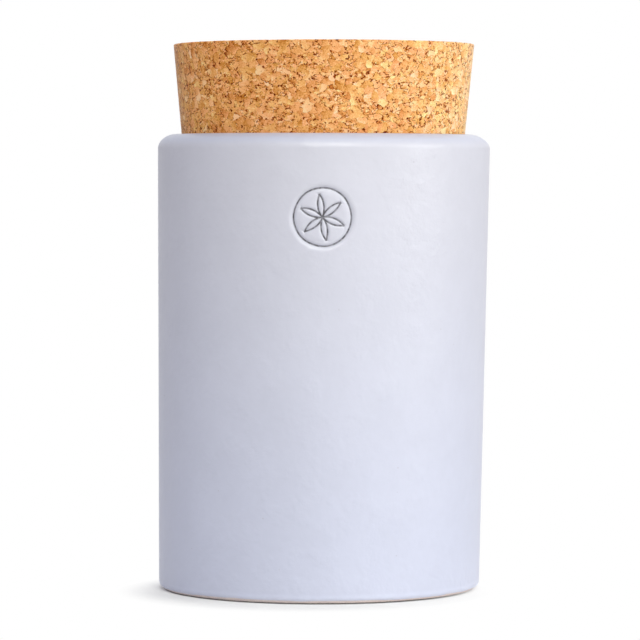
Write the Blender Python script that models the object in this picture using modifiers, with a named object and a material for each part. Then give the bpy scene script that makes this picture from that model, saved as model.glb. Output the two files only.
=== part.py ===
"""Round stoneware canister with a tapered cork lid.

The canister is one thrown and fired piece: a slightly drafted wall with a rolled lip, a
radiused floor inside, and a dry foot ring round a shallow recess underneath. The lid is one
turned plug of pressed cork, whose cone wedges against the inner edge of the lip.

Metres, +Z up. The origin is the centre of the foot, on the surface the canister stands on.
"""

import math

import bpy
from mathutils import Vector

# Canister: the outer wall is a straight line between these two radii, foot to crown
BODY_HEIGHT = 0.1435  # foot to the crown of the lip
RIM_RADIUS = 0.0526  # outer wall, carried up to the crown
BASE_RADIUS = 0.0507  # outer wall, carried down to the foot
WALL_THICKNESS = 0.0077
LIP_OUTER_ROUND = 0.0047
LIP_INNER_ROUND = 0.0018
FLOOR_THICKNESS = 0.0075
FLOOR_FILLET = 0.008  # where the inside wall runs into the floor

# Foot ring, which is left bare of glaze
FOOT_EDGE_ROUND = 0.0024
FOOT_WIDTH = 0.008
FOOT_RECESS = 0.0018  # height of the recess inside the ring
RECESS_ROUND = 0.0008

# Cork lid: one cone, wider at the top
CORK_STAND = 0.0284  # how far it stands above the crown
CORK_PLUG_DEPTH = 0.014  # how far it goes down into the mouth
CORK_HALF_ANGLE = math.radians(5.38)
CORK_TOP_ROUND = 0.0005
CORK_BOTTOM_ROUND = 0.0012
SEAT_CLEARANCE = 0.0003  # cone to lip, measured square to the cone

# Roundness of the turned surfaces
TURN_STEPS = 96
ARC_STEP = math.radians(18)  # longest turn between two points of a rounded corner
MERGE_DISTANCE = 0.00001

COLLECTION_NAME = "cork_lid_canister"

# name: base colour (linear), roughness, metallic
FINISHES = {
    "periwinkle_glaze": ((0.70, 0.72, 0.82), 0.45, 0.0),
    "pressed_cork": ((0.66, 0.37, 0.15), 0.85, 0.0),
}


def clear_scene():
    """Remove what an open scene holds, such as the startup objects."""
    for thing in list(bpy.data.objects):
        bpy.data.objects.remove(thing, do_unlink=True)


def make_collection(name):
    collection = bpy.data.collections.new(name)
    bpy.context.scene.collection.children.link(collection)
    return collection


def make_material(name):
    """A plain Principled material from the table of finishes."""
    color, roughness, metallic = FINISHES[name]
    material = bpy.data.materials.new(name)
    material.use_nodes = True
    shader = material.node_tree.nodes["Principled BSDF"]
    shader.inputs["Base Color"].default_value = (*color, 1.0)
    shader.inputs["Roughness"].default_value = roughness
    shader.inputs["Metallic"].default_value = metallic
    return material


def corner_arc(before, corner, after, radius):
    """The points of an arc of this radius that is tangent to both sides of a corner."""
    to_before = (before - corner).normalized()
    to_after = (after - corner).normalized()
    half_opening = to_before.angle(to_after) / 2
    reach = radius / math.tan(half_opening)  # corner to where the arc leaves each side
    centre = corner + (to_before + to_after).normalized() * radius / math.sin(half_opening)
    start = corner + to_before * reach - centre
    turn = start.angle_signed(corner + to_after * reach - centre)
    count = max(2, math.ceil(abs(turn) / ARC_STEP))
    points = []
    for step in range(count + 1):
        angle = -turn * step / count
        cos, sin = math.cos(angle), math.sin(angle)
        points.append(centre + Vector((start.x * cos - start.y * sin, start.x * sin + start.y * cos)))
    return points


def rounded_profile(corners):
    """A profile of (radius, height) points from corners (radius, height, rounding)."""
    places = [Vector((r, z)) for r, z, rounding in corners]
    profile = []
    for index, (r, z, rounding) in enumerate(corners):
        if rounding > 0:
            arc = corner_arc(places[index - 1], places[index], places[index + 1], rounding)
            profile.extend(arc)
        else:
            profile.append(places[index])
    return profile


def turned_piece(name, profile, material, collection):
    """Turn a profile that starts and ends on the Z axis into a closed solid."""
    mesh = bpy.data.meshes.new(name)
    points = [(point.x, 0.0, point.y) for point in profile]
    mesh.from_pydata(points, [(i, i + 1) for i in range(len(points) - 1)], [])
    mesh.materials.append(material)
    piece = bpy.data.objects.new(name, mesh)
    collection.objects.link(piece)

    screw = piece.modifiers.new("turn", "SCREW")
    screw.axis = "Z"
    screw.angle = 2 * math.pi
    screw.steps = TURN_STEPS
    screw.render_steps = TURN_STEPS
    screw.use_merge_vertices = True
    screw.merge_threshold = MERGE_DISTANCE
    screw.use_smooth_shade = True
    return piece


def canister_profile():
    """Inside floor at the axis, up the inside, over the lip, down the outside, under the foot."""
    mouth_radius = RIM_RADIUS - WALL_THICKNESS
    inner_base_radius = BASE_RADIUS - WALL_THICKNESS
    draft = (RIM_RADIUS - BASE_RADIUS) / BODY_HEIGHT
    floor_top = FOOT_RECESS + FLOOR_THICKNESS
    recess_radius = BASE_RADIUS - FOOT_EDGE_ROUND - FOOT_WIDTH
    return rounded_profile([
        (0.0, floor_top, 0),
        (inner_base_radius + draft * floor_top, floor_top, FLOOR_FILLET),
        (mouth_radius, BODY_HEIGHT, LIP_INNER_ROUND),
        (RIM_RADIUS, BODY_HEIGHT, LIP_OUTER_ROUND),
        (BASE_RADIUS, 0.0, FOOT_EDGE_ROUND),
        (recess_radius, 0.0, RECESS_ROUND),
        (recess_radius, FOOT_RECESS, RECESS_ROUND),
        (0.0, FOOT_RECESS, 0),
    ])


def cork_radius_at_crown():
    """Radius of the cork's cone at crown height, where it clears the rounded inner lip.

    The lip's rounding is a circle in section. The cone lies on it with the seat clearance,
    so its line passes at that distance outside the circle, measured square to the cone.
    """
    slope = math.tan(CORK_HALF_ANGLE)
    lip_centre_radius = RIM_RADIUS - WALL_THICKNESS + LIP_INNER_ROUND
    square_distance = LIP_INNER_ROUND + SEAT_CLEARANCE
    return lip_centre_radius + LIP_INNER_ROUND * slope - square_distance / math.cos(CORK_HALF_ANGLE)


def cork_profile():
    """Top of the cork at the axis, over its edge, down the cone, to the axis underneath."""
    slope = math.tan(CORK_HALF_ANGLE)
    at_crown = cork_radius_at_crown()
    top = BODY_HEIGHT + CORK_STAND
    bottom = BODY_HEIGHT - CORK_PLUG_DEPTH
    return rounded_profile([
        (0.0, top, 0),
        (at_crown + slope * CORK_STAND, top, CORK_TOP_ROUND),
        (at_crown - slope * CORK_PLUG_DEPTH, bottom, CORK_BOTTOM_ROUND),
        (0.0, bottom, 0),
    ])


def main():
    clear_scene()
    collection = make_collection(COLLECTION_NAME)
    turned_piece("canister_body", canister_profile(), make_material("periwinkle_glaze"), collection)
    turned_piece("cork_lid", cork_profile(), make_material("pressed_cork"), collection)


main()
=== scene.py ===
# Looks of the stoneware canister with its cork lid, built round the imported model.
# Metres, +Z up, the front towards -Y. Patterns are worked out in millimetres.
import math

import bmesh
import bpy
import numpy as np
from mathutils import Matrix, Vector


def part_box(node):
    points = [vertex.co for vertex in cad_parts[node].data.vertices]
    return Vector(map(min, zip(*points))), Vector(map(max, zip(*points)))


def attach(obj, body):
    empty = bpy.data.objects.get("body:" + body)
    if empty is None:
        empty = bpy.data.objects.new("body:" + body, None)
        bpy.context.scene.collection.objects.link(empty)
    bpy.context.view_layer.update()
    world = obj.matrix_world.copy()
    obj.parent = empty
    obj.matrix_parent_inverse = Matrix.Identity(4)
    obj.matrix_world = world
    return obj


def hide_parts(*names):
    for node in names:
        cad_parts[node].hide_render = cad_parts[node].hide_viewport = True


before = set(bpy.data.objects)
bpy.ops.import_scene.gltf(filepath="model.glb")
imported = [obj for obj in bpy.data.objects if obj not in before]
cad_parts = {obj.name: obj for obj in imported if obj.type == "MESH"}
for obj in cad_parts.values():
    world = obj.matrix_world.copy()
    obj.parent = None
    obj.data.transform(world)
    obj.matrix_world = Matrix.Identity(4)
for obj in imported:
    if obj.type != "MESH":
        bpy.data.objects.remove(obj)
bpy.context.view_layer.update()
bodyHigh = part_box("canister_body")[1]
corkLow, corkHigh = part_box("cork_lid")
crownHeight = bodyHigh.z
print("frame loaded:", len(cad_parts), "nodes, crown at", round(crownHeight, 4))


# camera, fitted to the outlines in the photograph
cameraView = {
    "distance": 1.1858,  # from the canister's axis
    "side": -0.00124,
    "height": 0.13044,
    "pitchDown": 2.208,  # degrees
    "lens": 210.44,  # on a 36 mm sensor
}


def makeCamera():
    data = bpy.data.cameras.new("camera")
    data.lens = cameraView["lens"]
    data.clip_end = 20.0
    camera = bpy.data.objects.new("camera", data)
    camera.location = (cameraView["side"], -cameraView["distance"], cameraView["height"])
    camera.rotation_euler = (math.radians(90 - cameraView["pitchDown"]), 0, 0)
    bpy.context.scene.collection.objects.link(camera)
    bpy.context.scene.camera = camera


# profiles and surfaces

def cornerArc(before, here, after, rounding):
    # centre, start and end of an arc that is tangent to both runs at a corner: the centre lies on
    # the bisector at rounding / sin(half the opening), and the arc meets each run at
    # rounding / tan(half the opening) from the corner. Places are radius + height * 1j.
    back = (before - here) / abs(before - here)
    ahead = (after - here) / abs(after - here)
    half = abs(np.angle(ahead / back)) / 2
    centre = here + (back + ahead) / abs(back + ahead) * rounding / math.sin(half)
    reach = rounding / math.tan(half)
    return centre, here + back * reach, here + ahead * reach


def roundedProfile(corners, arcSpacing):
    # points (radius, height) from corners: radius, height, rounding, and the spacing of the
    # points on the run that follows, or a function that gives their places as shares of that run
    places = [complex(corner[0], corner[1]) for corner in corners]
    arcs = [np.array([place]) for place in places]
    for i, corner in enumerate(corners):
        rounding = corner[2]
        if rounding > 0:
            centre, start, end = cornerArc(places[i - 1], places[i], places[i + 1], rounding)
            turn = np.angle((end - centre) / (start - centre))
            count = max(3, math.ceil(abs(turn) * rounding / arcSpacing))
            arcs[i] = centre + (start - centre) * np.exp(1j * turn * np.linspace(0, 1, count + 1))
    points = [arcs[0]]
    for i, corner in enumerate(corners[:-1]):
        leave, arrive, spacing = arcs[i][-1], arcs[i + 1][0], corner[3]
        if callable(spacing):
            shares = spacing(leave.imag, arrive.imag)
        else:
            shares = np.linspace(0, 1, max(1, math.ceil(abs(arrive - leave) / spacing)) + 1)
        points += [leave + (arrive - leave) * shares[1:-1], arcs[i + 1]]
    profile = np.concatenate(points)
    return np.stack([profile.real, profile.imag], axis=1)


def profileNormals(profile):
    # the outward side of the path: for a step (dr, dz) it is (-dz, dr), here from the step
    # between the two neighbours
    step = np.gradient(profile, axis=0)
    normal = np.stack([-step[:, 1], step[:, 0]], axis=1)
    return normal / np.linalg.norm(normal, axis=1, keepdims=True)


def crowded(count, centre, reach, crowding):
    # shares from 0 to 1 whose steps are finer near a centre: the density is
    # 1 + crowding / (1 + (distance / reach) ** 8), and equal parts of its running sum are one step
    fine = np.linspace(0, 1, 4001)
    density = 1 + crowding / (1 + ((fine - centre) / reach) ** 8)
    total = np.concatenate([[0], np.cumsum((density[1:] + density[:-1]) / 2)])
    return np.interp(np.linspace(0, total[-1], count + 1), total, fine)


def ringFaces(rows, columns):
    # corner numbers of the quads of a closed tube of rows of points, wound to face outwards
    row, column = np.meshgrid(np.arange(rows - 1), np.arange(columns), indexing="ij")
    after = (column + 1) % columns
    here = row * columns
    below = here + columns
    corners = np.stack([here + column, below + column, below + after, here + after], axis=-1)
    return corners.reshape(-1, 4)


def fanFaces(first, columns, pole):
    # corner numbers of the triangles between a ring, which starts at number first, and a pole
    column = np.arange(columns)
    return np.stack([first + column, first + (column + 1) % columns, np.full(columns, pole)], axis=1)


def newPiece(name, points, faces, body, replaced, material):
    mesh = bpy.data.meshes.new(name)
    mesh.from_pydata(points.tolist(), [], faces)
    mesh.materials.append(material)
    mesh.shade_smooth()
    mesh.update()
    piece = bpy.data.objects.new(name, mesh)
    bpy.context.scene.collection.objects.link(piece)
    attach(piece, body)
    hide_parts(replaced)
    return piece


def storeNumbers(piece, name, values):
    attribute = piece.data.attributes.new(name, "FLOAT", "POINT")
    attribute.data.foreach_set("value", values.astype(np.float32))


def smoothStep(low, high, value):
    share = np.clip((value - low) / (high - low), 0, 1)
    return share * share * (3 - 2 * share)


# nodes: each helper adds one node, or a few, and returns its socket

def addNode(tree, kind, inputs=None, **settings):
    # one node: its settings, and its inputs given as numbers or as other nodes' sockets
    node = tree.nodes.new(kind)
    for name, value in settings.items():
        setattr(node, name, value)
    for key, value in (inputs or {}).items():
        if isinstance(value, bpy.types.NodeSocket):
            tree.links.new(value, node.inputs[key])
        else:
            node.inputs[key].default_value = value
    return node


def mathOf(tree, operation, first, second):
    return addNode(tree, "ShaderNodeMath", {0: first, 1: second}, operation=operation).outputs[0]


def sumOf(tree, *values):
    total = values[0]
    for value in values[1:]:
        total = mathOf(tree, "ADD", total, value)
    return total


def productOf(tree, *values):
    total = values[0]
    for value in values[1:]:
        total = mathOf(tree, "MULTIPLY", total, value)
    return total


def inverseOf(tree, value):
    return mathOf(tree, "SUBTRACT", 1.0, value)


def swing(tree, value, amount):
    # a value from 0 to 1 as a change of up to half the amount either way
    return productOf(tree, mathOf(tree, "SUBTRACT", value, 0.5), amount)


def vectorOf(tree, operation, first, second):
    return addNode(tree, "ShaderNodeVectorMath", {0: first, 1: second}, operation=operation).outputs[0]


def scaled(tree, vector, factor):
    node = addNode(tree, "ShaderNodeVectorMath", {0: vector, "Scale": factor}, operation="SCALE")
    return node.outputs[0]


def lengthOf(tree, vector):
    return addNode(tree, "ShaderNodeVectorMath", {0: vector}, operation="LENGTH").outputs["Value"]


def distanceFrom(tree, place, middle):
    # in millimetres, from a middle given in metres
    middle = tuple(part * 1000 for part in middle)
    return lengthOf(tree, vectorOf(tree, "SUBTRACT", place, middle))


def blobOf(tree, place, middle, reach):
    # 1 in the middle of a rounded blob and 0 from its reach to each side, all in millimetres
    away = vectorOf(tree, "DIVIDE", vectorOf(tree, "SUBTRACT", place, middle), reach)
    return stepOf(tree, lengthOf(tree, away), 1.0, 0.2)


def along(tree, vector, direction):
    node = addNode(tree, "ShaderNodeVectorMath", {0: vector, 1: direction}, operation="DOT_PRODUCT")
    return node.outputs["Value"]


def partsOf(tree, vector):
    return addNode(tree, "ShaderNodeSeparateXYZ", {0: vector}).outputs


def stepOf(tree, value, low, high, outLow=0.0, outHigh=1.0):
    node = addNode(
        tree, "ShaderNodeMapRange",
        {"Value": value, "From Min": low, "From Max": high, "To Min": outLow, "To Max": outHigh},
        interpolation_type="SMOOTHSTEP")
    return node.outputs[0]


def noiseOf(tree, vector, scale, detail=2.0, roughness=0.5, color=False):
    node = addNode(
        tree, "ShaderNodeTexNoise",
        {"Vector": vector, "Scale": scale, "Detail": detail, "Roughness": roughness})
    return node.outputs[1 if color else 0]


def cellsOf(tree, vector, scale, feature="F1"):
    return addNode(
        tree, "ShaderNodeTexVoronoi", {"Vector": vector, "Scale": scale}, feature=feature).outputs


def attributeOf(tree, name):
    return addNode(tree, "ShaderNodeAttribute", attribute_name=name).outputs["Fac"]


def mixColor(tree, share, first, second, blend="MIX"):
    # each colour is a socket, or three numbers
    inputs = {0: share}
    for key, color in ((6, first), (7, second)):
        inputs[key] = color if isinstance(color, bpy.types.NodeSocket) else (*color, 1)
    node = addNode(tree, "ShaderNodeMix", inputs, data_type="RGBA", blend_type=blend)
    return node.outputs[2]


def tintOf(tree, bright, color, powers):
    # each channel is the colour's own times the brightness to a power of its own, kept off pure
    # black and white
    lit = mathOf(tree, "MAXIMUM", bright, 0.02)
    channels = {}
    for i, (part, power) in enumerate(zip(color, powers)):
        channel = productOf(tree, mathOf(tree, "POWER", lit, power), part)
        channels[i] = mathOf(tree, "MINIMUM", channel, 0.97)
    return addNode(tree, "ShaderNodeCombineColor", channels).outputs[0]


def bumpOf(tree, relief, strength):
    # relief is in millimetres
    node = addNode(tree, "ShaderNodeBump", {"Height": relief, "Strength": strength, "Distance": 0.001})
    return node.outputs[0]


def newMaterial(name):
    # also the place of each point on its piece, in millimetres
    material = bpy.data.materials.new(name)
    material.use_nodes = True
    tree = material.node_tree
    place = scaled(tree, addNode(tree, "ShaderNodeTexCoord").outputs["Object"], 1000)
    return material, tree, tree.nodes["Principled BSDF"], place


# canister

canister = {
    "draft": 0.00175,  # the wall is this much nearer the axis at the foot than at the crown
    "wallThickness": 0.0077,
    "outerLipRound": 0.0047,
    "innerLipRound": 0.0018,
    "floorThickness": 0.0075,
    "floorFillet": 0.008,
    "footEdgeRound": 0.0024,
    "footWidth": 0.008,
    "footRecess": 0.0018,
    "recessRound": 0.0008,
    "lean": 0.0113,  # the wall leans this much to the right, per metre of height
    "rimTilt": 0.0025,  # the lip is this much lower to the right, per metre across
    "lipDrop": 0.00045,  # how far the lip's outer half sinks below its inner edge
    "lipUneven": 0.35,  # and how much more of that there is on the right
    "lipFrom": 0.012,  # how far below its shoulder the lip starts to tilt
    "lipTo": 0.002,  # and how far above it the tilt is full
    "unevenness": 0.00006,  # of the thrown wall, from its lowest to its highest places
    "glazeEdge": 0.0008,  # height of the glaze's lower edge
    "edgeWaves": ((3, 1, 0.00012), (8, 0, 0.0001), (21, 2, 0.00006)),  # count, phase, size
    "glazeThickness": 0.00012,
    "columns": 290,
    "wallRows": 168,
    "arcSpacing": 0.00035,  # between the points of a rounded edge
}

stamp = {
    "height": 0.1179,  # of its centre
    "turn": -90.25,  # degrees round the axis; -90 is the front
    "ring": 0.0089,  # radius of the pressed ring
    "petal": 0.0070,  # radius of the rosette and of its arcs
    "tilt": 9.0,  # degrees
    "depth": 0.00042,
    "lineWidth": 0.00027,  # from the middle of a line to half its depth
    "wander": 0.00006,  # how unsteady the lines are
    "valley": 0.00014,  # depth of the soft hollow round each line
    "valleyWidth": 0.0006,
    "press": 0.00030,  # how deep the stamp's face went in, at its rim
    "pillow": 0.75,  # share of that by which its middle rises again
    "pillowEdge": 0.72,  # within this share of the ring's radius
    "pressReach": 0.0017,  # how far outside the ring the clay slopes down to it
    "fineHeight": 0.0112,  # the wall's points are closer together within this of its centre
    "fineTurn": 11.8,  # and within this many degrees
    "finer": 9,  # by this factor, less one
}

# the frame's box ends where the outer lip's rounding meets the wall
rimRadius = bodyHigh.x + canister["draft"] * canister["outerLipRound"] / crownHeight
mouthRadius = rimRadius - canister["wallThickness"]
footRadius = rimRadius - canister["draft"]
recessRadius = footRadius - canister["footEdgeRound"] - canister["footWidth"]
shoulder = crownHeight - canister["outerLipRound"]


def canisterProfile():
    # inner floor at the axis, up the inside, over the lip, down the outside and under the foot
    floorTop = canister["footRecess"] + canister["floorThickness"]
    innerFloor = footRadius - canister["wallThickness"] + canister["draft"] * floorTop / crownHeight

    def wallShares(top, bottom):
        centre = (top - stamp["height"]) / (top - bottom)
        reach = stamp["fineHeight"] / (top - bottom)
        return crowded(canister["wallRows"], centre, reach, stamp["finer"])

    # radius, height, rounding, and the spacing of the points up to the next corner
    corners = [
        (0.0, floorTop, 0, 0.006),
        (innerFloor, floorTop, canister["floorFillet"], 0.0045),
        (mouthRadius, crownHeight, canister["innerLipRound"], 0.0005),
        (rimRadius, crownHeight, canister["outerLipRound"], wallShares),
        (footRadius, 0.0, canister["footEdgeRound"], 0.0012),
        (recessRadius, 0.0, canister["recessRound"], 0.0005),
        (recessRadius, canister["footRecess"], canister["recessRound"], 0.006),
        (0.0, canister["footRecess"], 0, 0.006),
    ]
    return roundedProfile(corners, canister["arcSpacing"])


def wallUnevenness(height, angle):
    # from 0 to 1: throwing rings, and a wall that isn't quite round or straight, as sines of the
    # height, of the angle and of both
    rings = np.sin(height * 1450 + 1.1 * np.sin(angle + 0.6))
    rings = rings + 0.8 * np.sin(height * 830 + 0.9 * np.sin(2 * angle))
    bends = 1.2 * np.sin(2 * angle + height * 31 + 0.9) + 0.8 * np.sin(3 * angle - height * 47 + 2.1)
    bends = bends + 0.5 * np.sin(5 * angle + height * 62)
    return 0.5 + (rings + bends) / 8.6


def stampDistance(across, up):
    # distance from each point to the pressed lines: one ring, and a rosette of six petals whose
    # sides are arcs of the rosette's radius struck from six places on its own circle
    tilt = math.radians(stamp["tilt"])
    wander = stamp["wander"]
    x = across * math.cos(tilt) + up * math.sin(tilt)
    y = up * math.cos(tilt) - across * math.sin(tilt)
    x = x + wander * (np.sin(y * 310 + 1.3) + 0.5 * np.sin(y * 900))
    y = y + wander * (np.sin(x * 350 + 0.4) + 0.5 * np.sin(x * 810 + 2))
    radius = np.hypot(x, y)
    nearest = np.abs(radius - stamp["ring"])
    for angle in np.radians(np.arange(30, 390, 60)):
        away = np.hypot(x - stamp["petal"] * np.cos(angle), y - stamp["petal"] * np.sin(angle))
        side = np.maximum(np.abs(away - stamp["petal"]), radius - stamp["petal"])
        nearest = np.minimum(nearest, side)
    return nearest


def stampRelief(across, up):
    # depth of the stamp, and its lines from 0 to 1. The face is pressed in most along the ring.
    # Each line is a groove of bell-shaped section, 2 ** -(distance / width) ** 2, in a soft hollow.
    fromCentre = np.hypot(across, up)
    face = smoothStep(stamp["ring"] + stamp["pressReach"], stamp["ring"], fromCentre)
    pillow = smoothStep(stamp["ring"], stamp["ring"] * stamp["pillowEdge"], fromCentre)
    distance = stampDistance(across, up)
    line = np.exp2(-((distance / stamp["lineWidth"]) ** 2))
    hollow = np.exp2(-((distance / stamp["valleyWidth"]) ** 2))
    depth = stamp["press"] * face * (1 - stamp["pillow"] * pillow)
    return depth + stamp["depth"] * line + stamp["valley"] * hollow, line


def bareFoot(radius, height, angle):
    # 1 where the foot ring has no glaze: outside the recess, under the glaze's wavy lower edge
    edge = canister["glazeEdge"]
    for count, phase, size in canister["edgeWaves"]:
        edge = edge + size * np.sin(angle * count + phase)
    outsideRecess = smoothStep(-0.0004, 0.0004, radius - recessRadius)
    return smoothStep(0.00014, -0.00006, height - edge) * outsideRecess


def lipSag(radius, height, angle):
    # how far the lip lies below a level one: it tilts to the right, and its outer half sinks
    lip = smoothStep(shoulder - canister["lipFrom"], shoulder + canister["lipTo"], height)
    outerHalf = smoothStep(
        mouthRadius + canister["innerLipRound"], rimRadius - canister["outerLipRound"] / 2, radius)
    outerHalf = outerHalf * smoothStep(shoulder, crownHeight - 0.001, height)
    drop = canister["lipDrop"] * (1 + canister["lipUneven"] * np.cos(angle))
    return canister["rimTilt"] * radius * np.cos(angle) * lip + drop * outerHalf


def makeCanister(material):
    # each point: radius and height from the profile, moved against the profile's normal by the
    # wall's unevenness, the stamp and the missing glaze, then turned about the axis and leaned
    profile = canisterProfile()
    radius, height = profile[1:-1].T[..., None]
    outward, upward = profileNormals(profile)[1:-1].T[..., None]
    columns = canister["columns"]
    # the turn starts opposite the stamp, which is at half of it
    turn = 2 * math.pi * crowded(columns, 0.5, stamp["fineTurn"] / 360, stamp["finer"])[:-1]
    angle = turn + math.radians(stamp["turn"]) - math.pi

    outside = smoothStep(0.2, 0.9, outward)  # 1 on the wall, 0 inside, on top and underneath
    pressed, line = stampRelief((turn - math.pi) * radius, height - stamp["height"])
    bare = bareFoot(radius, height, angle)
    standing = smoothStep(-0.75, -0.98, upward)  # 1 on the flat of the foot, which stays flat
    sunk = (canister["unevenness"] * wallUnevenness(height, angle) + pressed) * outside
    sunk = sunk + canister["glazeThickness"] * bare * (1 - standing)
    movedRadius = radius - outward * sunk
    movedHeight = height - upward * sunk - lipSag(radius, height, angle)
    shift = canister["lean"] * (movedHeight - shoulder)
    points = np.stack(
        [movedRadius * np.cos(angle) + shift, movedRadius * np.sin(angle), movedHeight], axis=-1)
    poles = [(canister["lean"] * (z - shoulder), 0, z) for z in profile[[0, -1], 1]]

    topPole = points.shape[0] * columns
    faces = ringFaces(len(points), columns).tolist() + fanFaces(0, columns, topPole).tolist()
    faces += fanFaces(topPole - columns, columns, topPole + 1)[:, [1, 0, 2]].tolist()
    points = np.concatenate([points.reshape(-1, 3), poles])
    piece = newPiece("glazed_canister", points, faces, "canister", "canister_body", material)
    storeNumbers(piece, "pressedLine", np.append((line * outside).ravel(), [0, 0]))
    storeNumbers(piece, "bareClay", np.append(bare.ravel(), [0, 0]))
    print("canister:", len(faces), "faces")


glaze = {
    "color": (0.680, 0.684, 0.756),
    "lowColor": (0.686, 0.719, 0.860),  # nearer the foot, where the glaze lies thicker
    "lowHeights": (150, -10),  # in mm, where that starts and would be full
    "crownShadeColor": (0.618, 0.660, 0.790),  # painted shade on top of the lip: darker, and bluer against the cork's warm bounce
    "mottle": 0.03,
    "roughness": 0.38,
    "clayRougher": 0.4,  # how much rougher than that the bare clay is
    "bump": 0.5,
    "peel": (0.10, 0.34),  # depth of its ripples in mm, in smooth and in rippled patches
    "runMiddle": (30.6, -42.0, 108.0),  # in mm, of a run of thicker glaze right of the front
    "runReach": (20, 20, 44),
    "runPeel": 0.42,  # how much deeper its ripples are, in mm
    "pinholeColor": (0.40, 0.38, 0.40),
    "pinholeSize": 0.055,  # of the largest, as a share of the 4.5 mm from one to the next
    "pinholeShade": 0.30,  # how much of their colour shows
    "pinholeDepth": 0.05,  # in mm, as the two below
    "fineDepth": 0.03,
    "gritDepth": 0.15,  # of the bare clay
    "clay": (0.95, 0.84, 0.82),
    "footShade": (0.34, 0.28, 0.25),  # painted shade, in a narrow line round the foot where it meets the worktop
    "footShadeHeights": (0.22, 0.03),  # in mm, where that ends and where it is full
    "footLight": 1.14,  # painted light: how much brighter the glaze is just above its lower edge, partly as it gets less deep
    "footLightFrom": 3.4,  # height in mm at which that brightening starts
    "lineShade": (0.085, 0.083, 0.095),  # painted shade in the stamp's lines, with glaze that has pooled in them
}


def glazeMaterial():
    material, tree, shader, place = newMaterial("satinGlaze")
    height = partsOf(tree, place)["Z"]
    # painted shade on top of the lip, darker and bluer than the wall
    crown = stepOf(tree, height, crownHeight * 1000 - 4, crownHeight * 1000 - 1)
    color = mixColor(tree, crown, glaze["color"], glaze["crownShadeColor"])
    color = mixColor(tree, stepOf(tree, height, *glaze["lowHeights"]), color, glaze["lowColor"])
    cloud = noiseOf(tree, place, 0.055, 3, 0.6)  # about 18 mm across
    fine = noiseOf(tree, place, 0.45, 3, 0.6)  # about 2 mm across
    tone = sumOf(tree, productOf(tree, cloud, 0.7), productOf(tree, fine, 0.3))
    bright = stepOf(tree, tone, 0.3, 0.7, 1 - glaze["mottle"], 1 + glaze["mottle"] * 0.4)
    glazeEdge = canister["glazeEdge"] * 1000
    # painted light towards the glaze's lower edge, where the foot's rounding turns from the lamps
    footBrightening = stepOf(tree, height, glaze["footLightFrom"], glazeEdge, 1, glaze["footLight"])
    color = scaled(tree, color, productOf(tree, bright, footBrightening))

    # pinholes, a few hairs wide, here and there
    holes = cellsOf(tree, place, 0.22)
    holeSize = stepOf(tree, partsOf(tree, holes["Color"])[0], 0.55, 1.0, 0.0, glaze["pinholeSize"])
    pinhole = mathOf(tree, "LESS_THAN", holes["Distance"], holeSize)
    shaded = productOf(tree, pinhole, glaze["pinholeShade"])
    color = mixColor(tree, shaded, color, glaze["pinholeColor"])

    # painted shade in the stamp's lines, with pooled glaze, uneven along them
    unevenShade = stepOf(tree, noiseOf(tree, place, 0.8), 0.35, 0.65, 0.65, 1.0)
    line = productOf(tree, stepOf(tree, attributeOf(tree, "pressedLine"), 0.25, 0.90), unevenShade)
    color = mixColor(tree, line, color, glaze["lineShade"])

    # bare clay under the glaze's lower edge, with painted contact shade in a line above the worktop
    bare = stepOf(tree, attributeOf(tree, "bareClay"), 0.3, 0.7)
    grit = noiseOf(tree, place, 3.0, 4, 0.7)
    # painted contact shade, a dark line just above the worktop
    footShade = stepOf(tree, height, *glaze["footShadeHeights"])
    footShade = productOf(tree, stepOf(tree, height, 0.0, 0.02), footShade)
    clay = mixColor(tree, footShade, glaze["clay"], glaze["footShade"])
    clay = scaled(tree, clay, stepOf(tree, grit, 0.3, 0.72, 0.90, 1.04))
    color = mixColor(tree, bare, color, clay)
    rough = stepOf(tree, fine, 0.3, 0.7, glaze["roughness"] - 0.04, glaze["roughness"] + 0.05)
    rough = sumOf(tree, rough, productOf(tree, bare, glaze["clayRougher"]))

    # ripples about 3 mm across, deeper in patches and in the run, and the rest of the relief
    ripple = noiseOf(tree, place, 0.30, 3, 0.6)
    patches = stepOf(tree, noiseOf(tree, place, 0.12), 0.45, 0.65, *glaze["peel"])
    run = blobOf(tree, place, glaze["runMiddle"], glaze["runReach"])
    deep = sumOf(tree, patches, productOf(tree, run, glaze["runPeel"]))
    relief = sumOf(
        tree, productOf(tree, ripple, deep), productOf(tree, fine, glaze["fineDepth"]),
        productOf(tree, pinhole, -glaze["pinholeDepth"]),
        productOf(tree, grit, bare, glaze["gritDepth"]))
    tree.links.new(color, shader.inputs["Base Color"])
    tree.links.new(rough, shader.inputs["Roughness"])
    tree.links.new(bumpOf(tree, relief, glaze["bump"]), shader.inputs["Normal"])
    return material


# cork lid

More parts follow.
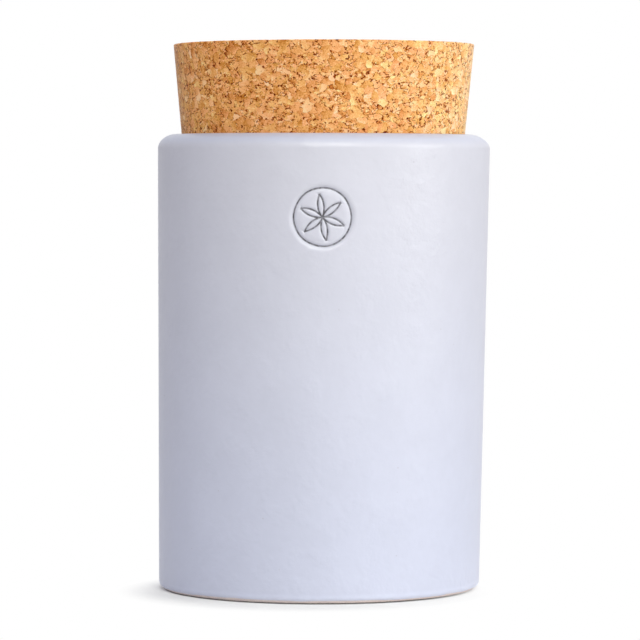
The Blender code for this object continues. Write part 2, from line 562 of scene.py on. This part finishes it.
cork = {
    "halfAngle": 5.38,  # degrees, of the cone
    "topRound": 0.0004,
    "bottomRound": 0.0012,
    "swell": 0.00012,  # how much wider it is than a clean cone, from its rough granules
    "tilt": 0.0068,  # the cork leans this much to the right, per metre of height
    "gridAcross": 138,  # squares across each flat end, a quarter of the columns round the side
    "arcSpacing": 0.00022,  # between the points of a rounded edge
    "mergeReach": 0.000002,  # of the points where side and ends meet
    "flatness": 1.22,  # how much wider than tall the granules lie
    "granule": 2.4,  # mm across a large granule
    "chip": 1.1,  # mm across a small one
    "brokenShare": 0.45,  # of the solid that is made of chips
    "stirs": ((0.45, 1, 2.6), (1.5, 2, 0.75)),  # noises that bend them: scale, detail, reach in mm
    "shadedSide": (-0.15, -0.10, -0.40),  # pulls the dark crust, with its painted shade, to the lower side of a granule
    "crustShadeWidth": (0.03, 0.25),  # in mm
    "arcBreakGate": (0.38, 0.50),  # of a noise: none of the crust and its shade under the first, all of it over the second
    "growth": (0.45, 1.7, 1.7),  # scale of the growth lines along and across them
    "granuleContrast": 0.44,
    "chipContrast": 0.64,
    "gritContrast": 1.7,  # of the fine grain within every granule
    "mottleContrast": 0.30,  # of a coarser grain
    "streakContrast": 1.0,  # of the growth lines in each of them
    "facet": 0.15,  # painted light and shade: change of brightness per mm across one granule, as if tilted
    "brightness": 1.06,
    "sideways": 0.0048,  # painted light and shade: the block grows this much brighter per mm to the right, where the lamps are
    "color": (0.880, 0.466, 0.159),  # at a brightness of 1
    "powers": (0.52, 1.12, 2.15),  # the darker, the redder
    "paleColor": (1.0, 0.70, 0.40),
    "paleGate": (0.95, 0.96),  # of a granule's random number, from none to pale
    "paleShare": 0.5,  # how much of that colour shows
    "yellowTint": (0.985, 1.025, 0.885),
    "pinkTint": (1.015, 0.955, 1.10),
    "shades": {"arc": 0.96, "crack": 0.93, "pit": 0.98, "bark": 0.70},  # how dark each is at most: in arcs, cracks and pits partly painted shade
    "crackGate": (0.53, 0.70),  # of a noise, from no crack to the widest
    "crackWidth": (0.004, 0.20),  # in mm
    "barkGate": (0.63, 0.665),
    "pits": (0.01, 0.39),  # radius of the smallest and largest, in shares of the 1.6 mm between them
    "pitDepth": 0.22,  # in mm, as the two below; these three are cut in the mesh
    "barkDepth": 0.06,
    "granuleDepth": 0.05,
    "crackDepth": 0.18,  # in mm, as the two below; these three are in the bump alone
    "arcDepth": 0.16,
    "gritDepth": 0.24,
    "roughness": 0.82,
    "diffuseRoughness": 0.9,
    "sheen": 0.30,
    "sheenRoughness": 0.3,
    "gloss": 0.06,
    "bump": 0.2,
}


def granulesOf(tree, place, size, contrast):
    # cells of one size, as granules: their random numbers, the distance to the border in mm, the tone,
    # random, with painted light and shade rising evenly across a granule as if it were tilted, and
    # the dark crust along one side of its border, mostly the lower, which is crust and painted shade
    cell = cellsOf(tree, place, 1 / size)
    border = productOf(tree, cellsOf(tree, place, 1 / size, "DISTANCE_TO_EDGE")["Distance"], size)
    parts = partsOf(tree, cell["Color"])
    inCell = vectorOf(tree, "SUBTRACT", place, cell["Position"])
    across = along(tree, inCell, vectorOf(tree, "SUBTRACT", cell["Color"], (0.5, 0.5, 0.5)))
    # each granule's tone rises across it, painted light and shade as if its face were tilted
    tone = sumOf(tree, swing(tree, parts[0], contrast), productOf(tree, across, -cork["facet"] * 2))
    # painted shade: the crust darkens the side of the border that faces down, where shade falls
    darkSide = sumOf(tree, across, along(tree, inCell, cork["shadedSide"]))
    crustAndShade = stepOf(tree, productOf(tree, darkSide, 1 / size), 0.08, 0.22)
    width = stepOf(tree, parts[1], 0.10, 0.9, *cork["crustShadeWidth"])
    inside = stepOf(tree, mathOf(tree, "DIVIDE", border, width), 0.45, 1.0)
    return {
        "chance": cell["Color"], "kind": parts[0], "level": parts[1], "breaks": parts[2],
        "border": border, "tone": tone, "crustAndShade": productOf(tree, crustAndShade, inverseOf(tree, inside))}


def corkGrain(tree, place):
    # pressed granules in the solid: place is in millimetres. The same nodes colour the surface
    # and, in a geometry tree, cut its relief, so that pits lie where they are painted.
    # Places are flattened and stirred by two noises, and cells of two sizes are cut from them:
    # a large cell is one granule, or is broken up into chips.
    def stir(source, scale, detail, reach):
        noise = noiseOf(tree, source, scale, detail, color=True)
        return scaled(tree, vectorOf(tree, "SUBTRACT", noise, (0.5, 0.5, 0.5)), reach)

    flat = vectorOf(tree, "MULTIPLY", place, (1, 1, cork["flatness"]))
    stirs = vectorOf(tree, "ADD", *(stir(flat, *noise) for noise in cork["stirs"]))
    stirred = vectorOf(tree, "ADD", flat, stirs)
    large = granulesOf(tree, stirred, cork["granule"], cork["granuleContrast"])
    chips = granulesOf(tree, stirred, cork["chip"], cork["chipContrast"])
    isChips = mathOf(tree, "LESS_THAN", large["breaks"], cork["brokenShare"])

    def choose(largeValue, chipValue):
        return addNode(tree, "ShaderNodeMix", {0: isChips, 2: largeValue, 3: chipValue}).outputs[0]

    level = choose(large["level"], chips["level"])
    border = choose(large["border"], mathOf(tree, "MINIMUM", large["border"], chips["border"]))
    arc = choose(large["crustAndShade"], mathOf(tree, "MAXIMUM", large["crustAndShade"], chips["crustAndShade"]))
    # (3, 41, 8) and the like only move a noise away from the others
    # the crust and its painted shade, broken up by a noise
    arcBreaks = noiseOf(tree, vectorOf(tree, "ADD", flat, (3, 41, 8)), 1.0, 2, 0.6)
    arc = productOf(tree, arc, stepOf(tree, arcBreaks, *cork["arcBreakGate"]))

    # growth lines, which run a different way in every granule
    axis = vectorOf(tree, "SUBTRACT", large["chance"], (0.5, 0.5, 0.5))
    turned = addNode(
        tree, "ShaderNodeVectorRotate",
        {"Vector": place, "Axis": axis, "Angle": productOf(tree, level, 2 * math.pi)},
        rotation_type="AXIS_ANGLE").outputs[0]
    drawnOut = vectorOf(tree, "MULTIPLY", turned, cork["growth"])
    drawnOut = vectorOf(tree, "ADD", drawnOut, scaled(tree, chips["chance"], 9))
    streak = noiseOf(tree, drawnOut, 1.0, 4, 0.75)

    # cracks between granules, open for a millimetre or two
    gate = noiseOf(tree, flat, 0.75, 2, 0.6)
    width = stepOf(tree, gate, *cork["crackGate"], *cork["crackWidth"])
    crack = inverseOf(tree, stepOf(tree, mathOf(tree, "DIVIDE", border, width), 0.3, 1.0))

    # pits left by lost bits, and flecks of dark bark
    pitStir = scaled(tree, noiseOf(tree, flat, 1.7, 2, color=True), 2.2)
    pits = cellsOf(tree, vectorOf(tree, "ADD", stirred, pitStir), 0.62)
    pitSize = stepOf(tree, partsOf(tree, pits["Color"])[0], 0.45, 1.0, *cork["pits"])
    pit = inverseOf(tree, stepOf(tree, mathOf(tree, "DIVIDE", pits["Distance"], pitSize), 0.6, 1.0))
    barkNoise = noiseOf(tree, vectorOf(tree, "ADD", flat, (31, 7, 12)), 0.30, 5, 0.75)
    bark = stepOf(tree, barkNoise, *cork["barkGate"])

    relief = sumOf(
        tree, productOf(tree, mathOf(tree, "SUBTRACT", level, 1.0), cork["granuleDepth"]),
        productOf(tree, pit, -cork["pitDepth"]), productOf(tree, bark, -cork["barkDepth"]))
    return {
        "tone": choose(large["tone"], chips["tone"]), "kind": choose(large["kind"], chips["kind"]),
        "level": level, "streak": streak, "arc": arc, "crack": crack, "pit": pit, "bark": bark,
        "relief": relief}


def corkMaterial():
    material, tree, shader, place = newMaterial("pressedCork")
    grain = corkGrain(tree, place)
    mottle = noiseOf(tree, place, 0.9, 3, 0.7)  # about 1 mm across
    grit = noiseOf(tree, place, 2.6, 3, 0.75)  # about 0.4 mm across
    # the tone includes painted light and shade, brighter to the right
    tone = sumOf(
        tree, cork["brightness"], productOf(tree, partsOf(tree, place)["X"], cork["sideways"]),
        grain["tone"], swing(tree, mottle, cork["mottleContrast"]),
        swing(tree, grit, cork["gritContrast"]), swing(tree, grain["streak"], cork["streakContrast"]))
    # darkening from the arcs, cracks, pits and bark; in the first three it is partly painted shade in
    # the hollows
    shade = 1.0
    for part, darkness in cork["shades"].items():
        shade = productOf(tree, shade, inverseOf(tree, productOf(tree, grain[part], darkness)))
    color = tintOf(tree, productOf(tree, tone, shade), cork["color"], cork["powers"])

    # every granule has a tint from yellow to pink, and a few are much paler than the rest
    tint = mixColor(tree, grain["level"], cork["yellowTint"], cork["pinkTint"])
    color = mixColor(tree, 1.0, color, tint, "MULTIPLY")
    pale = stepOf(tree, grain["kind"], *cork["paleGate"], 0, cork["paleShare"])
    pale = productOf(tree, pale, shade, shade)
    color = mixColor(tree, pale, color, cork["paleColor"])

    relief = sumOf(
        tree, grain["relief"], productOf(tree, grit, cork["gritDepth"]),
        productOf(tree, grain["crack"], -cork["crackDepth"]),
        productOf(tree, grain["arc"], -cork["arcDepth"]))
    tree.links.new(color, shader.inputs["Base Color"])
    tree.links.new(bumpOf(tree, relief, cork["bump"]), shader.inputs["Normal"])
    shader.inputs["Roughness"].default_value = cork["roughness"]
    shader.inputs["Specular IOR Level"].default_value = cork["gloss"]
    shader.inputs["Diffuse Roughness"].default_value = cork["diffuseRoughness"]
    shader.inputs["Sheen Weight"].default_value = cork["sheen"]
    shader.inputs["Sheen Roughness"].default_value = cork["sheenRoughness"]
    return material


def readRelief(piece):
    # the cork's relief at each of the piece's points, in metres, from the grain's nodes
    group = bpy.data.node_groups.new("corkRelief", "GeometryNodeTree")
    group.interface.new_socket("Geometry", in_out="INPUT", socket_type="NodeSocketGeometry")
    group.interface.new_socket("Geometry", in_out="OUTPUT", socket_type="NodeSocketGeometry")
    given = group.nodes.new("NodeGroupInput")
    position = addNode(group, "GeometryNodeInputPosition").outputs[0]
    grain = corkGrain(group, scaled(group, position, 1000))
    store = addNode(
        group, "GeometryNodeStoreNamedAttribute",
        {"Geometry": given.outputs[0], "Name": "relief", "Value": grain["relief"]},
        data_type="FLOAT", domain="POINT")
    result = group.nodes.new("NodeGroupOutput")
    group.links.new(store.outputs[0], result.inputs[0])
    modifier = piece.modifiers.new("relief", "NODES")
    modifier.node_group = group
    evaluated = piece.evaluated_get(bpy.context.evaluated_depsgraph_get())
    values = np.zeros(len(piece.data.vertices), np.float32)
    evaluated.data.attributes["relief"].data.foreach_get("value", values)
    piece.modifiers.remove(modifier)
    bpy.data.node_groups.remove(group)
    return values / 1000


def corkProfile():
    # over the top edge, down the cone and round the bottom edge
    slope = math.tan(math.radians(cork["halfAngle"]))
    # the frame's box ends where the top's rounding leaves the cone, a little under the corner
    corner = cork["topRound"] * math.tan(math.radians(45 - cork["halfAngle"] / 2)) * slope
    topRadius = corkHigh.x + corner + cork["swell"]
    bottomRadius = corkHigh.x - slope * (corkHigh.z - corkLow.z) + cork["swell"]
    # a spacing of a metre puts no points between two corners
    corners = [
        (0.0, corkHigh.z, 0, 1.0),
        (topRadius, corkHigh.z, cork["topRound"], 0.0005),
        (bottomRadius, corkLow.z, cork["bottomRound"], 1.0),
        (0.0, corkLow.z, 0, 1.0),
    ]
    return roundedProfile(corners, cork["arcSpacing"])[1:-1]


def turnedPoints(profile, turn):
    # every (radius, height) of a profile carried round the axis
    across, up = profile.T[..., None]
    return np.stack([across * np.cos(turn), across * np.sin(turn), up + 0 * turn], axis=-1)


def discGrid(count, radius, height, facing):
    # a square grid drawn out to a disc: a point keeps its square ring as its distance from the
    # middle, and its place along the ring's side as an angle. The rim's points are evenly spread.
    u, v = np.meshgrid(np.linspace(-1, 1, count + 1), np.linspace(-1, 1, count + 1), indexing="ij")
    ring = np.maximum(np.abs(u), np.abs(v))
    alongX = np.abs(u) >= np.abs(v)
    share = np.where(alongX, v / np.where(u == 0, 1, u), u / np.where(v == 0, 1, v)) * math.pi / 4
    xAngle = share + np.where(u < 0, math.pi, 0)
    yAngle = math.pi / 2 - share + np.where(v < 0, math.pi, 0)
    angle = np.where(alongX, xAngle, yAngle)
    points = radius * ring[..., None] * np.stack([np.cos(angle), np.sin(angle), 0 * u], axis=-1)
    points[..., 2] = height
    row, column = np.meshgrid(np.arange(count), np.arange(count), indexing="ij")
    here = row * (count + 1) + column
    faces = np.stack([here, here + count + 1, here + count + 2, here + 1], axis=-1).reshape(-1, 4)
    return points.reshape(-1, 3), faces if facing > 0 else faces[:, ::-1]


def mergePoints(piece, reach):
    joined = bmesh.new()
    joined.from_mesh(piece.data)
    bmesh.ops.remove_doubles(joined, verts=joined.verts, dist=reach)
    joined.to_mesh(piece.data)
    joined.free()
    piece.data.update()


def makeCork(material):
    # the side is a profile turned about the axis and the ends are discs, then every point sinks
    # along its normal by the relief, and the whole leans
    profile = corkProfile()
    normal = profileNormals(profile)
    normal[0], normal[-1] = (0, 1), (0, -1)
    count = cork["gridAcross"]
    columns = count * 4
    turn = np.linspace(0, 2 * math.pi, columns, endpoint=False) + math.pi / 4
    side = turnedPoints(profile, turn).reshape(-1, 3)
    sideNormals = turnedPoints(normal, turn).reshape(-1, 3)
    top, topFaces = discGrid(count, profile[0, 0], corkHigh.z, 1)
    bottom, bottomFaces = discGrid(count, profile[-1, 0], corkLow.z, -1)
    up = np.zeros_like(top) + (0, 0, 1)
    points = np.concatenate([side, top, bottom])
    normals = np.concatenate([sideNormals, up, -up])
    faces = np.concatenate([
        ringFaces(len(profile), columns), topFaces + len(side), bottomFaces + len(side) + len(top)])

    piece = newPiece("pressed_cork_lid", points, faces.tolist(), "lid", "cork_lid", material)
    depth = np.minimum(readRelief(piece), 0)
    points = points + normals * depth[:, None]
    points[:, 0] += cork["tilt"] * (points[:, 2] - corkHigh.z)
    piece.data.vertices.foreach_set("co", points.astype(np.float32).ravel())
    mergePoints(piece, cork["mergeReach"])
    deepest = round(-float(depth.min()) * 1000, 3)
    print("cork:", len(piece.data.polygons), "faces, pits down to", deepest, "mm")


# floor, backdrop and light

studio = {
    "floorReach": 4.0,
    "floorLevel": -0.00001,  # a hair under the foot, so that the two don't flicker
    "floorColor": (0.80, 0.795, 0.76),
    "contactShadowColor": (0.22, 0.22, 0.22),  # painted contact shadow where the foot meets it, for the camera only
    "floorGlow": 0.15,  # added outside the foot's edge, for the camera only
    "footMiddle": (-0.0012, -0.0022, 0),  # the painted contact shadow lies round this place
    "clearFrom": 0.0478,  # distance from it at which the painted contact shadow starts to clear
    "clearTo": 0.0502,
    "shadowMiddle": (-0.006, -0.013, 0),  # the shadow lies round this place
    "whiteFrom": 0.042,  # distance from it at which the floor starts to fade to pure white
    "whiteTo": 0.060,
    "ambient": 0.14,
    "ambientTint": (1.01, 1.0, 1.62),
    "lampReach": 1.5,  # from the middle of the canister to every lamp
    "lampSize": 0.8,
}

# azimuth is in degrees from the front towards the right
lamps = {
    "side": {"azimuth": 70, "elevation": 20, "energy": 9.3, "color": (1.0, 1.0, 0.945)},
    "front": {"azimuth": 5, "elevation": 40, "energy": 14.1, "color": (1.0, 1.0, 0.915)},
    "back": {"azimuth": 180, "elevation": 50, "energy": 5.0, "color": (1.0, 1.0, 1.0)},
}


def seenDirectly(tree):
    # 1 for rays from the camera, reflections and refractions, 0 for the light on the object
    path = addNode(tree, "ShaderNodeLightPath").outputs
    either = mathOf(tree, "MAXIMUM", path["Is Camera Ray"], path["Is Glossy Ray"])
    return mathOf(tree, "MAXIMUM", either, path["Is Transmission Ray"])


def floorMaterial():
    # a painted contact shadow, a dark line where the foot meets it, plain and pale round that, where
    # it keeps the shadow,
    # and pure white further away, so that the canister's outline meets the same white everywhere
    material, tree, shader, place = newMaterial("paleFloor")
    direct = seenDirectly(tree)
    outwards = distanceFrom(tree, place, studio["footMiddle"])
    clear = stepOf(tree, outwards, studio["clearFrom"] * 1000, studio["clearTo"] * 1000)
    # painted contact shadow, for the camera only
    contact = productOf(tree, direct, inverseOf(tree, clear))
    color = mixColor(tree, contact, studio["floorColor"], studio["contactShadowColor"])
    glow = productOf(tree, direct, clear, studio["floorGlow"])
    tree.links.new(color, shader.inputs["Base Color"])
    shader.inputs["Roughness"].default_value = 0.9
    shader.inputs["Specular IOR Level"].default_value = 0.0
    shader.inputs["Emission Color"].default_value = (1, 1, 1, 1)
    tree.links.new(glow, shader.inputs["Emission Strength"])

    away = distanceFrom(tree, place, studio["shadowMiddle"])
    share = stepOf(tree, away, studio["whiteFrom"] * 1000, studio["whiteTo"] * 1000)
    white = addNode(tree, "ShaderNodeEmission", {"Color": (1, 1, 1, 1), "Strength": 1.0})
    mixed = addNode(
        tree, "ShaderNodeMixShader",
        {0: productOf(tree, direct, share), 1: shader.outputs[0], 2: white.outputs[0]})
    tree.links.new(mixed.outputs[0], tree.nodes["Material Output"].inputs["Surface"])
    return material


def makeFloor():
    reach = studio["floorReach"]
    sides = [(-reach, -reach), (reach, -reach), (reach, reach), (-reach, reach)]
    corners = [(x, y, studio["floorLevel"]) for x, y in sides]
    mesh = bpy.data.meshes.new("floor")
    mesh.from_pydata(corners, [], [(0, 1, 2, 3)])
    mesh.materials.append(floorMaterial())
    floor = bpy.data.objects.new("floor", mesh)
    bpy.context.scene.collection.objects.link(floor)


def makeBackdrop():
    world = bpy.data.worlds.new("backdrop")
    bpy.context.scene.world = world
    world.use_nodes = True
    tree = world.node_tree
    background = tree.nodes["Background"]
    ambient = [studio["ambient"] * part for part in studio["ambientTint"]]
    color = mixColor(tree, seenDirectly(tree), ambient, (1, 1, 1))
    tree.links.new(color, background.inputs["Color"])
    background.inputs["Strength"].default_value = 1.0


def makeLamps():
    for name, lamp in lamps.items():
        azimuth = math.radians(lamp["azimuth"])
        elevation = math.radians(lamp["elevation"])
        outwards = studio["lampReach"] * math.cos(elevation)
        upwards = studio["lampReach"] * math.sin(elevation)
        data = bpy.data.lights.new(name, "AREA")
        data.shape = "SQUARE"
        data.size = studio["lampSize"]
        data.energy = lamp["energy"]
        data.color = lamp["color"]
        light = bpy.data.objects.new(name, data)
        light.location = (
            outwards * math.sin(azimuth), -outwards * math.cos(azimuth), crownHeight / 2 + upwards)
        light.rotation_euler = (math.pi / 2 - elevation, 0, azimuth)
        bpy.context.scene.collection.objects.link(light)


makeCamera()
makeCanister(glazeMaterial())
makeCork(corkMaterial())
makeFloor()
makeBackdrop()
makeLamps()
bpy.context.scene.view_settings.view_transform = "Standard"
print("floor, backdrop,", len(lamps), "lamps and camera placed")
